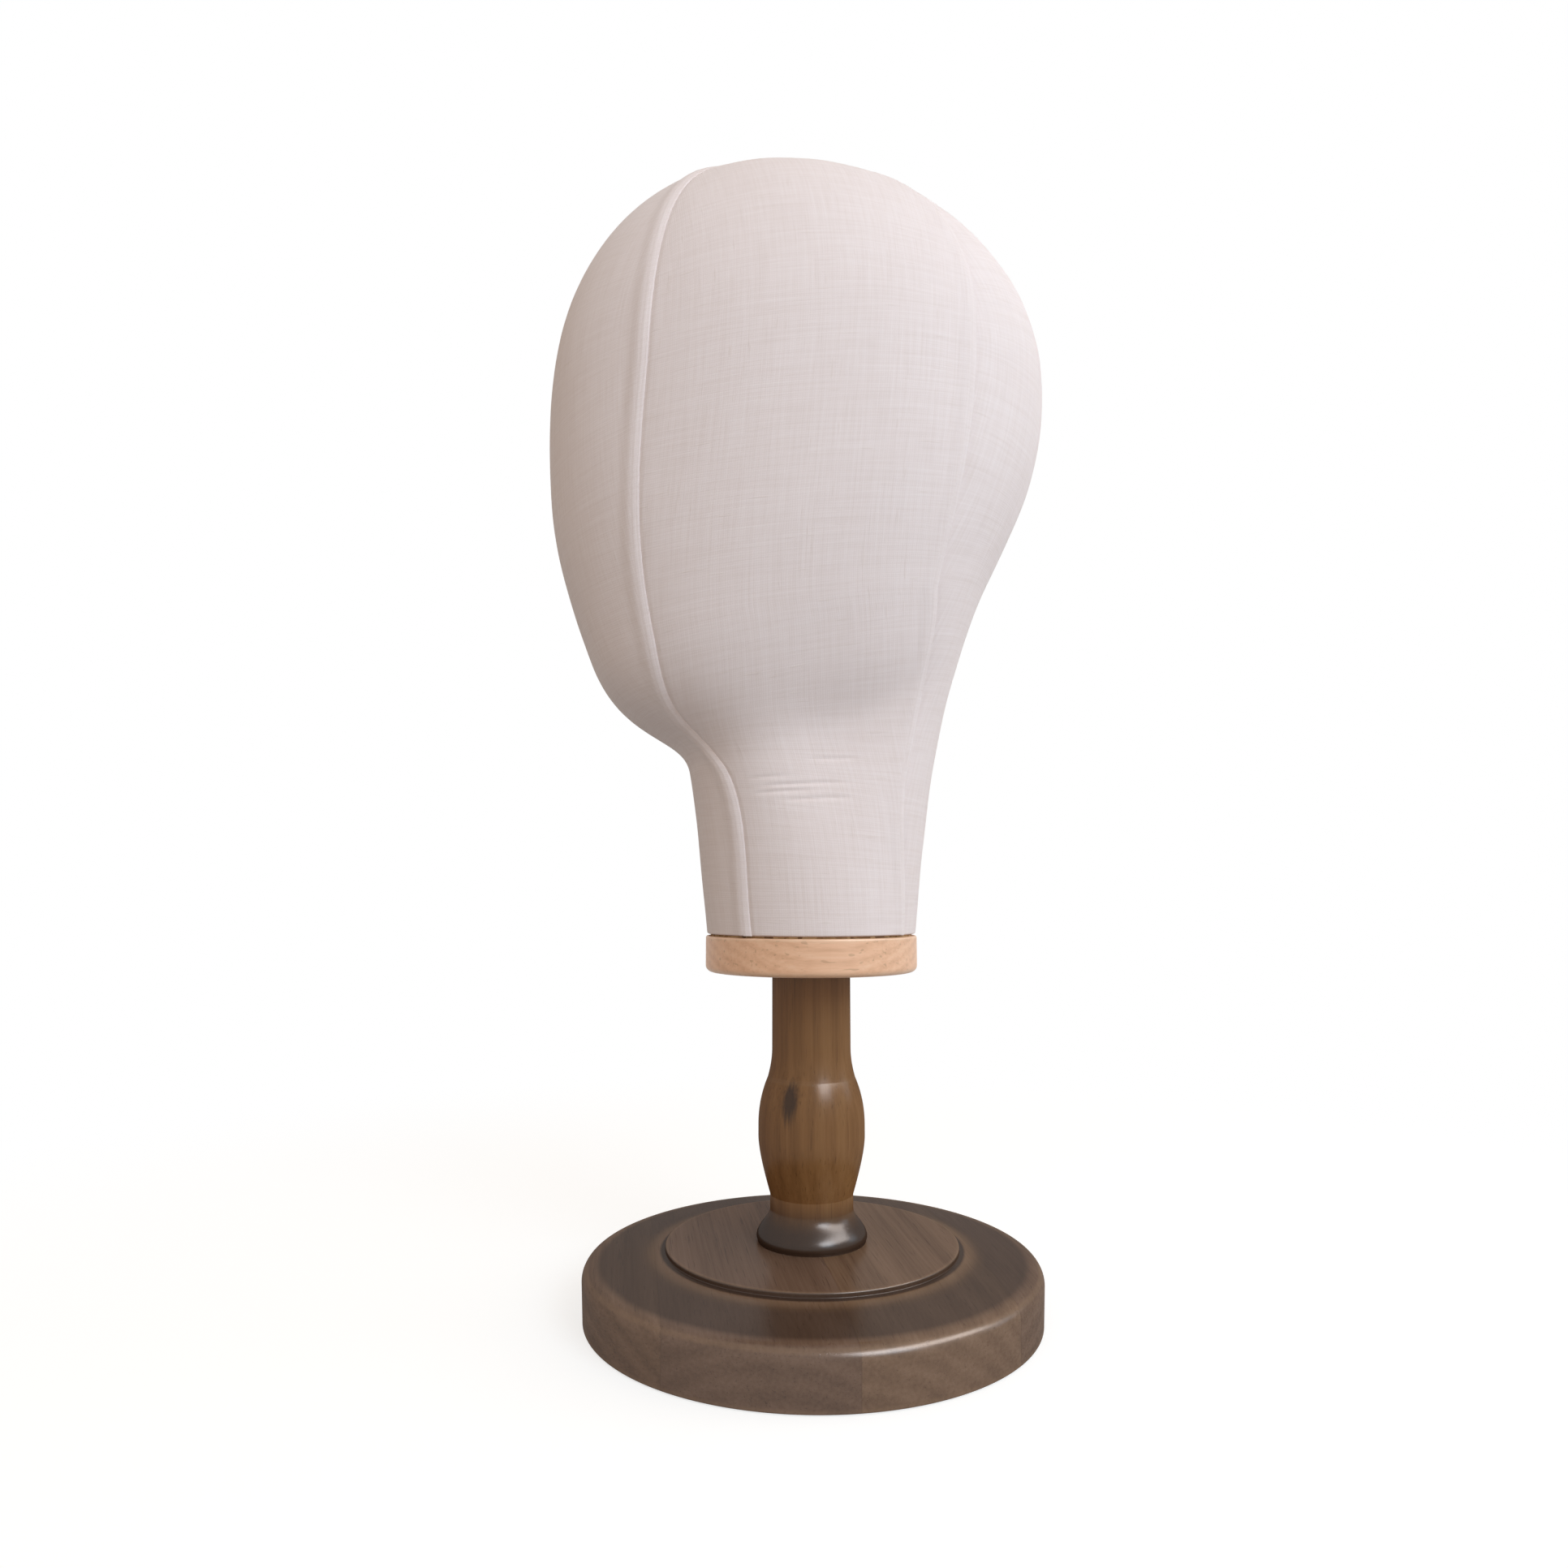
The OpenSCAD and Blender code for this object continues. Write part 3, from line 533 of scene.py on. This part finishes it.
hem = ((neck_r, plate_z + hem_gap), 85, 0, 20)
FRONT = side_view([
    hem,
    ((50, plate_z + 66.5), 79, 13, 18),
    ((91, plate_z + 111), 69, 34, 37),
    ((109.5, plate_z + 209), 90, 40, 68),
    ((crown_out, crown_z), 180, 65, 0),
])
BACK = side_view([
    hem,
    ((48.8, plate_z + 62.5), 81, 22, 31),
    ((69, plate_z + 136), 66, 20.5, 26.5),
    ((100, plate_z + 229), 90, 40.5, 56),
    ((-crown_out, crown_z), 180, 56, 0),
])
HALF = [(neck_r, neck_r + 2, 45, 47), (47, 49, 57, 65), (65, 73, 79, 79), (79, 79, 40, 0)]
SQUARE = [(2, 2, 2.2, 2.3), (2.3, 2.5, 2.5, 2.3), (2.3, 2.1, 2, 2), (2, 2, 2, 2)]
EGG = [(0, 0, 0, 0.2), (0.2, 0.6, 0.9, 1), (1, 1, 1, 1), (1, 1, 1, 1)]
FRONT_SEAM = [
    (46.4, 43.4, 52.4, 38.5), (38.5, 19, 45.7, 46.7), (46.7, 47.6, 48, 50.2), (50.2, 51.9, 49, 47)
]
BACK_SEAM = [
    (137.3, 137, 125, 125.3), (125.3, 126.6, 129, 124.5), (124.5, 124.7, 121.5, 121.8), (121.8, 125, 126, 130)
]
egg_share = 0.08
jaw_hollow, jaw_angle, jaw_angle_spread = 5.5, 99, 28
jaw_h, jaw_tilt, jaw_over, jaw_under = 82, 0.4, 14, 30
angle_step, place_step, last_place = 0.5, 0.01, 3.999


def along(chain, t):
    """Values of a chain of Bezier curves at the places t, from 0 at the hem to 4 at the crown."""
    out = np.zeros(t.shape + np.shape(chain[0][0]))
    for k, (a, b, c, d) in enumerate(chain):
        here = np.minimum(np.floor(t), 3) == k
        u = (t[here] - k).reshape((-1,) + (1,) * np.ndim(a))
        out[here] = a * (1 - u) ** 3 + 3 * b * u * (1 - u) ** 2 + 3 * c * u**2 * (1 - u) + d * u**3
    return out


def signed_power(value, power):
    return np.sign(value) * np.abs(value) ** power


def head_surface(t, angle):
    """Points of the canvas at places t and at section angles, in degrees from the face."""
    front, back = along(FRONT, t), along(BACK, t)
    power = 2 / along(SQUARE, t)
    cosine, sine = np.cos(np.radians(angle)), np.sin(np.radians(angle))
    reach, side = signed_power(cosine, power), signed_power(sine, power)
    y = (back[..., 0] - front[..., 0]) / 2 - reach * (front[..., 0] + back[..., 0]) / 2
    z = (front[..., 1] + back[..., 1]) / 2 + reach * (front[..., 1] - back[..., 1]) / 2
    turned = 180 - np.abs(180 - np.mod(angle, 360))
    above = z - plate_z - jaw_h - jaw_tilt * (turned - jaw_angle)
    fall = above / np.where(above > 0, jaw_over, jaw_under)
    hollow = jaw_hollow * np.exp(-(((turned - jaw_angle) / jaw_angle_spread) ** 2) - fall**2)
    half = along(HALF, t) * (1 - egg_share * along(EGG, t) * cosine)
    return np.stack([side * (half - hollow), y, z], -1)


def head_normal(t, angle):
    above, below = np.minimum(t + place_step, last_place), np.maximum(t - place_step, 0)
    across = head_surface(t, angle + angle_step) - head_surface(t, angle - angle_step)
    up = head_surface(above, angle) - head_surface(below, angle)
    normal = np.cross(across, up)
    return normal / np.linalg.norm(normal, axis=-1, keepdims=True)


# Places of the rows of the cloth, closer together at the hem, under the jaw and towards the crown
place_rows = np.concatenate([
    np.linspace(0, 0.02, 5)[:-1],
    np.linspace(0.02, 0.7, 24)[:-1],
    np.linspace(0.7, 1.08, 66)[:-1],
    np.linspace(1.08, 2, 46)[:-1],
    np.linspace(2, 3, 40)[:-1],
    4 - (1 - np.linspace(0, 0.975, 54)) ** 1.5,
])

# A seam narrows within this distance of the crown, and its fold ends at this share of its size
taper_r, taper_power, seam_end = 24, 1.2, 0.08


def run_along(points, axis):
    """Distance run along rows or columns of points, from the first one."""
    steps = np.linalg.norm(np.diff(points, axis=axis), axis=-1)
    return np.insert(np.cumsum(steps, axis=axis), 0, 0, axis=axis)


class Seam:
    """A lapped seam: the panel on its over side ends in a raised fold, the other one dips under it."""

    def __init__(self, name, angle, way, lift, band):
        self.name, self.angle, self.way, self.lift, self.band = name, angle, way, lift, band
        self.roll = lift / 4
        t = place_rows
        step = head_surface(t, angle + angle_step) - head_surface(t, angle - angle_step)
        self.speed = np.linalg.norm(step, axis=-1) / (2 * angle_step)
        self.fade = np.clip(self.speed * 180 / math.pi / taper_r, 0, 1) ** taper_power
        self.length = run_along(head_surface(t, angle), 0)

    def angle_at(self, across):
        """Section angle at a distance across the seam, counted towards the panel below."""
        gap = np.clip((self.fade - seam_end) / (1 - seam_end), 0, 1)
        return self.angle + self.way * across * gap / self.speed


# Seams: section angle, which way the lap lies, how far it is raised and how wide it is
front_angle, back_angle = along(FRONT_SEAM, place_rows), along(BACK_SEAM, place_rows)
front_lift, front_band = 0.8, 4.4
back_lift, back_band = 0.5, 4
SEAMS = [
    Seam("left_front_seam", front_angle, 1, front_lift, front_band),
    Seam("left_back_seam", back_angle, 1, back_lift, back_band),
    Seam("right_back_seam", 360 - back_angle, -1, back_lift, back_band),
    Seam("right_front_seam", 360 - front_angle, -1, front_lift, front_band),
]
over_edge, under_edge, roll_width, lap_fall = 1.2, 0.9, 2, 3
dip_depth, dip_width = 0.35, 2.4
pucker_height, pucker_run, pucker_drift, pucker_drift_run, pucker_reach = 0.04, 1.15, 1.7, 9, 4
cloth_t, hem_round = 0.9, 0.7
seam_allowance, hem_allowance = 10, 12


def smooth(value, low, high):
    share = np.clip((value - low) / (high - low), 0, 1)
    return share * share * (3 - 2 * share)


def rounded(distance, radius):
    """How far a rounded edge falls away, at a distance from its end."""
    inside = np.clip(radius - distance, 0, radius)
    return radius - np.sqrt(radius**2 - inside**2)


# Creases in the neck, as (section angle, height above the plate, half length in degrees, depth)
CREASES = [
    (72, 55, 13, 0.4), (85, 52.3, 12, 0.38), (79, 57.8, 16, 0.42), (92, 67.5, 7, 0.3), (66, 60.5, 9, 0.25)
]
crease_width, crease_tilt = 0.8, 0.05


def crease_depth(angle, z):
    turned = 180 - np.abs(180 - np.mod(angle, 360))
    depth = np.zeros(z.shape)
    for at, height, reach, deep in CREASES:
        above = z - plate_z - height - crease_tilt * (turned - at)
        depth += deep * np.exp(-(((turned - at) / reach) ** 4) - (above / crease_width) ** 2)
    return depth


# Low waves of the cloth, as (height, run across, run up)
WAVES = [(0.10, 9.1, 23), (0.10, -31, 12.7), (0.06, 4.3, -6.1)]
ripple_start, ripple_full = 2, 10


def ripple(u, v, phase):
    """Low waves that the stretched cloth keeps, a fraction of a millimetre high."""
    waves = enumerate(WAVES, 1)
    return sum(height * np.sin(u / across + v / up + turn * phase) for turn, (height, across, up) in waves)


def stitch_pucker(length):
    """The slight wave that the stitches pull into the cloth along a seam."""
    return pucker_height * np.sin(length / pucker_run + pucker_drift * np.sin(length / pucker_drift_run))


def lap_height(seam, distance, over):
    """Height of the cloth beside a seam, on the panel that laps over it or on the one below."""
    distance = distance / np.maximum(seam.fade, seam_end)[:, None]
    pucker = stitch_pucker(seam.length)[:, None] * np.exp(-distance / pucker_reach)
    if over:
        raised = seam.lift * (1 - smooth(distance, seam.band - lap_fall, seam.band + lap_fall))
        return raised - seam.roll * np.clip(1 - distance / roll_width, 0, 1) ** 2 + pucker
    return -dip_depth * (1 - smooth(distance, 0, dip_width)) + pucker


# Each piece of cloth takes its weave from elsewhere, and its threads straighten between these places
cloth_shift = 0.37
straight_from, straight_full = 2.2, 3


def add_cloth(piece, u, v, index):
    """Thread coordinates of the cloth, in metres, for the weave."""
    values = np.stack([u * MM, v * MM, np.full(u.shape, index * cloth_shift)], -1)
    made = piece.data.attributes.new("cloth", "FLOAT_VECTOR", "POINT")
    made.data.foreach_set("vector", values.astype(np.float32).ravel())


def thread_places(across, width, up):
    """Places on the flat cloth: straight threads, though the rows bend round towards the crown."""
    narrowing = -np.gradient(width, up) / width * smooth(place_rows, straight_from, straight_full)
    turn = narrowing[:, None] * across
    u = across * np.sinc(turn / math.pi)
    v = up[:, None] + across * np.sinc(turn / (2 * math.pi)) * np.sin(turn / 2)
    return u, v


def sheet_faces(rows, columns, pole):
    faces = []
    for i in range(rows - 1):
        for j in range(columns - 1):
            k = i * columns + j
            faces.append((k, k + 1, k + columns + 1, k + columns))
    last = (rows - 1) * columns
    faces += [(last + j, last + j + 1, pole) for j in range(columns - 1)]
    return faces


# How much closer the columns of a panel lie along its seams
column_crowding = 0.8


def canvas_panel(index, name, before, after, columns=60):
    """One panel, from the seam before it to the seam after it, as a sheet that ends at the crown."""
    over_first, over_last = before.way < 0, after.way > 0
    first = before.angle_at(-over_edge if over_first else under_edge)
    last = after.angle_at(-over_edge if over_last else under_edge)
    first = np.where(first > last, first - 360, first)
    share = np.linspace(0, 1, columns)
    share = share - column_crowding / (2 * math.pi) * np.sin(2 * math.pi * share)
    angle = first[:, None] + (last - first)[:, None] * share
    t = np.repeat(place_rows[:, None], columns, 1)
    bare = head_surface(t, angle)
    run = run_along(bare, 1)
    width = run[:, -1:]
    up = run_along(bare, 0)
    middle = up[:, columns // 2, None] + 0 * run
    quiet = np.minimum(before.fade, after.fade)[:, None]
    quiet = quiet * smooth(np.minimum(run, width - run), ripple_start, ripple_full)
    height = (
        lap_height(before, run, over_first) * before.fade[:, None]
        + lap_height(after, width - run, over_last) * after.fade[:, None]
        + ripple(run - width / 2, middle, index) * quiet
        - crease_depth(angle, bare[..., 2])
        - rounded(up, hem_round)
    )
    points = bare + height[..., None] * head_normal(t, angle)
    points[0, :, 2] = plate_z + hem_gap
    pole = points.size // 3
    mesh = bpy.data.meshes.new(name)
    verts = np.concatenate([points.reshape(-1, 3), [(0, -crown_out, crown_z)]]) * MM
    mesh.from_pydata(verts.tolist(), [], sheet_faces(*angle.shape, pole))
    mesh.shade_smooth()
    piece = link(name, mesh)
    u, v = thread_places(run - width / 2, width[:, 0], middle[:, 0])
    add_cloth(piece, np.append(u, 0), np.append(v, middle[-1, 0]), index)
    solid = piece.modifiers.new("cloth", "SOLIDIFY")
    solid.thickness = cloth_t * MM
    solid.offset = -1
    cut = width[:, 0] + 2 * seam_allowance
    area = np.sum((cut[1:] + cut[:-1]) / 2 * np.diff(middle[:, 0]))
    return piece, (cut.max() * MM, (middle.max() + hem_allowance) * MM), area * MM**2


corner_cut = 0.25


def seam_outline(edge):
    """Section of the folded edge, as (distance across, height), from the rolled lap down into the ditch."""
    corners = np.array([
        (-2.4, edge + 0.05), (-1.7, edge + 0.1), (-1.2, edge + 0.06), (-0.6, edge - 0.06), (0, 0.5 * edge),
        (0.5, 0.2 * edge), (0.9, -0.06), (1.2, -0.3), (1.2, -0.6), (0.9, -0.8), (-1.9, -0.8),
    ])
    after = np.roll(corners, -1, 0)
    leave, arrive = corners + corner_cut * (after - corners), after - corner_cut * (after - corners)
    return np.stack([leave, arrive], 1).reshape(-1, 2)


def canvas_seam(index, seam):
    """The folded edge of the lap, from the hem until it runs out near the crown."""
    rows = seam.fade > seam_end
    outline = seam_outline(seam.lift - seam.roll)
    t = np.repeat(place_rows[rows][:, None], len(outline), 1)
    fade = seam.fade[rows][:, None]
    angle = seam.angle[rows][:, None] + seam.way * outline[:, 0] * fade / seam.speed[rows][:, None]
    normal = head_normal(t, angle)
    points = head_surface(t, angle) + (outline[:, 1] * fade)[..., None] * normal
    up = run_along(points, 0)
    points += (stitch_pucker(seam.length[rows])[:, None] * fade)[..., None] * normal
    points[0, :, 2] = plate_z + hem_gap
    count, sides = t.shape
    faces = []
    for i in range(count - 1):
        for j in range(sides):
            k, n = i * sides + j, i * sides + (j + 1) % sides
            faces.append((k, k + sides, n + sides, n))
    faces += [tuple(range(sides)), tuple(reversed(range((count - 1) * sides, count * sides)))]
    mesh = bpy.data.meshes.new(seam.name)
    mesh.from_pydata((points.reshape(-1, 3) * MM).tolist(), [], faces)
    shape = bmesh.new()
    shape.from_mesh(mesh)
    bmesh.ops.recalc_face_normals(shape, faces=shape.faces)
    shape.to_mesh(mesh)
    shape.free()
    mesh.shade_smooth()
    piece = link("folded_" + seam.name, mesh)
    add_cloth(piece, run_along(points, 1).ravel(), up.ravel(), index + len(SEAMS))
    return piece


def add_canvas():
    canvas = canvas_material()
    seams = {}
    for index, seam in enumerate(SEAMS):
        seams[seam.name] = canvas_seam(index, seam)
        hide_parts(seam.name)
    for index, (node, before, after, laps) in enumerate((
        ("face_panel", 3, 0, ("left_front_seam", "right_front_seam")),
        ("left_panel", 0, 1, ("left_back_seam",)),
        ("back_panel", 1, 2, ()),
        ("right_panel", 2, 3, ("right_back_seam",)),
    )):
        panel, flat, area = canvas_panel(index, "canvas_" + node, SEAMS[before], SEAMS[after])
        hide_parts(node)
        folds = [seams[name] for name in laps]
        for piece in [panel, *folds]:
            piece.data.materials.append(canvas)
            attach(piece, "head")


# Materials of the CAD pieces that stay, and the dull and the bright colour of their metals

BRASS = ((0.46, 0.32, 0.11), (0.70, 0.52, 0.22))
STEEL = ((0.42, 0.43, 0.44), (0.66, 0.67, 0.68))


def dress_cad_pieces():
    for material, names in (
        (felt_material(), ["base_felt"]),
        (metal_material("steel", *STEEL), ["base_bolt", "bolt_washer", "swivel_pin", "plate_screws"]),
        (metal_material("brass", *BRASS), ["threaded_sleeve", "neck_bush"]),
        (leather_material(), ["swivel_washer"]),
        (beech_material(), ["neck_plate", "neck_plug"]),
        (cork_material(), ["head_core"]),
    ):
        for name in names:
            nodes[name].data.materials.clear()
            nodes[name].data.materials.append(material)


# Floor, background and light, in metres; turns and rises of the lamps in degrees

lamp_distance, lamp_aim_z = 1.3, 0.25
cool, neutral, warm = (0.57, 0.80, 1.0), (1.0, 0.94, 0.91), (1.0, 0.875, 0.742)
KEY = {"turn": 36, "rise": 26, "size": (0.6, 0.6), "power": 6.8, "colour": cool}
GLEAM = {"turn": 58, "rise": 34, "size": (1.7, 0.5), "power": 36, "colour": neutral}
RIM = {"turn": 98, "rise": 12, "size": (0.5, 0.4), "power": 1.7, "colour": cool}
fill_strength, fill_slope = 0.87, 0.55
fill_camera, fill_right, fill_down = 0.6, 0.8, 0.8
floor_albedo, floor_white = 0.42, 0.72
floor_r, white_from, white_full = 6, 0.15, 0.6


def join(tree, *pairs):
    for source, target in pairs:
        tree.links.new(source, target)


def seen_rays(tree):
    """1 for rays that show the background: those of the camera, of reflections and of clear pieces."""
    path = tree.nodes.new("ShaderNodeLightPath")
    seen = path.outputs["Is Camera Ray"]
    for kind in ("Is Glossy Ray", "Is Transmission Ray"):
        either = tree.nodes.new("ShaderNodeMath")
        either.operation = "MAXIMUM"
        join(tree, (seen, either.inputs[0]), (path.outputs[kind], either.inputs[1]))
        seen = either.outputs[0]
    return seen


def add_floor():
    """A pale floor that keeps the soft shadow near the object and runs into the white background."""
    mesh = bpy.data.meshes.new("floor")
    shape = bmesh.new()
    bmesh.ops.create_circle(shape, cap_ends=True, radius=floor_r, segments=64)
    shape.to_mesh(mesh)
    shape.free()
    floor = link("floor", mesh)
    material = bpy.data.materials.new("floor")
    material.use_nodes = True
    tree = material.node_tree
    tree.nodes.clear()
    place = tree.nodes.new("ShaderNodeTexCoord")
    away = tree.nodes.new("ShaderNodeVectorMath")
    away.operation = "LENGTH"
    far = tree.nodes.new("ShaderNodeMapRange")
    far.interpolation_type = "SMOOTHSTEP"
    far.inputs[1].default_value, far.inputs[2].default_value = white_from, white_full
    glow = tree.nodes.new("ShaderNodeMapRange")
    glow.inputs[3].default_value = floor_white
    beyond = tree.nodes.new("ShaderNodeMath")
    strength = tree.nodes.new("ShaderNodeMath")
    beyond.operation = strength.operation = "MULTIPLY"
    matt = tree.nodes.new("ShaderNodeBsdfDiffuse")
    matt.inputs[0].default_value = (floor_albedo, floor_albedo, floor_albedo, 1)
    dark = tree.nodes.new("ShaderNodeBsdfDiffuse")
    dark.inputs[0].default_value = (0, 0, 0, 1)
    white = tree.nodes.new("ShaderNodeEmission")
    mix = tree.nodes.new("ShaderNodeMixShader")
    both = tree.nodes.new("ShaderNodeAddShader")
    out = tree.nodes.new("ShaderNodeOutputMaterial")
    seen = seen_rays(tree)
    join(
        tree,
        (place.outputs["Object"], away.inputs[0]), (away.outputs["Value"], far.inputs[0]),
        (far.outputs[0], beyond.inputs[0]), (seen, beyond.inputs[1]),
        (beyond.outputs[0], mix.inputs[0]),
        (matt.outputs[0], mix.inputs[1]), (dark.outputs[0], mix.inputs[2]),
        (far.outputs[0], glow.inputs[0]),
        (glow.outputs[0], strength.inputs[0]), (seen, strength.inputs[1]),
        (strength.outputs[0], white.inputs[1]),
        (mix.outputs[0], both.inputs[0]), (white.outputs[0], both.inputs[1]),
        (both.outputs[0], out.inputs[0]),
    )
    mesh.materials.append(material)


def add_lamp(name, turn, rise, size, power, colour):
    """A rectangular lamp that looks at the object, turned to the right of the camera and raised."""
    to_camera, to_right = camera_axes()
    turn, rise = math.radians(turn), math.radians(rise)
    level = math.cos(turn) * to_camera + math.sin(turn) * to_right
    toward = math.cos(rise) * level + Vector((0, 0, math.sin(rise)))
    data = bpy.data.lights.new(name, "AREA")
    data.shape = "RECTANGLE"
    data.size, data.size_y = size
    data.energy = power
    data.color = colour
    lamp = bpy.data.objects.new(name, data)
    bpy.context.scene.collection.objects.link(lamp)
    lamp.location = Vector((0, 0, lamp_aim_z)) + lamp_distance * toward
    lamp.rotation_euler = (-toward).to_track_quat("-Z", "Y").to_euler()
    return lamp


def add_light():
    """A cool key and rim lamp, a strip that only gleams in the lacquer, and a warm world."""
    to_camera, to_right = camera_axes()
    add_lamp("key", **KEY)
    add_lamp("gleam", **GLEAM).visible_diffuse = False
    add_lamp("rim", **RIM).visible_camera = False
    world = bpy.data.worlds.new("studio")
    bpy.context.scene.world = world
    world.use_nodes = True
    tree = world.node_tree
    way = tree.nodes.new("ShaderNodeTexCoord")
    bright = tree.nodes.new("ShaderNodeVectorMath")
    bright.operation = "DOT_PRODUCT"
    brightest = fill_camera * to_camera + fill_right * to_right - Vector((0, 0, fill_down))
    bright.inputs[1].default_value = brightest.normalized()
    level = tree.nodes.new("ShaderNodeMath")
    level.operation = "MULTIPLY_ADD"
    level.inputs[1].default_value, level.inputs[2].default_value = fill_slope, fill_strength
    light = tree.nodes["Background"]
    light.inputs[0].default_value = (*warm, 1)
    white = tree.nodes.new("ShaderNodeBackground")
    white.inputs[0].default_value = (1, 1, 1, 1)
    mix = tree.nodes.new("ShaderNodeMixShader")
    join(
        tree,
        (way.outputs["Generated"], bright.inputs[0]), (bright.outputs["Value"], level.inputs[0]),
        (level.outputs[0], light.inputs[1]), (seen_rays(tree), mix.inputs[0]),
        (light.outputs[0], mix.inputs[1]), (white.outputs[0], mix.inputs[2]),
        (mix.outputs[0], tree.nodes["World Output"].inputs[0]),
    )


add_camera()
add_turned_pieces()
add_canvas()
dress_cad_pieces()
add_floor()
add_light()
bpy.context.scene.view_settings.view_transform = "Standard"
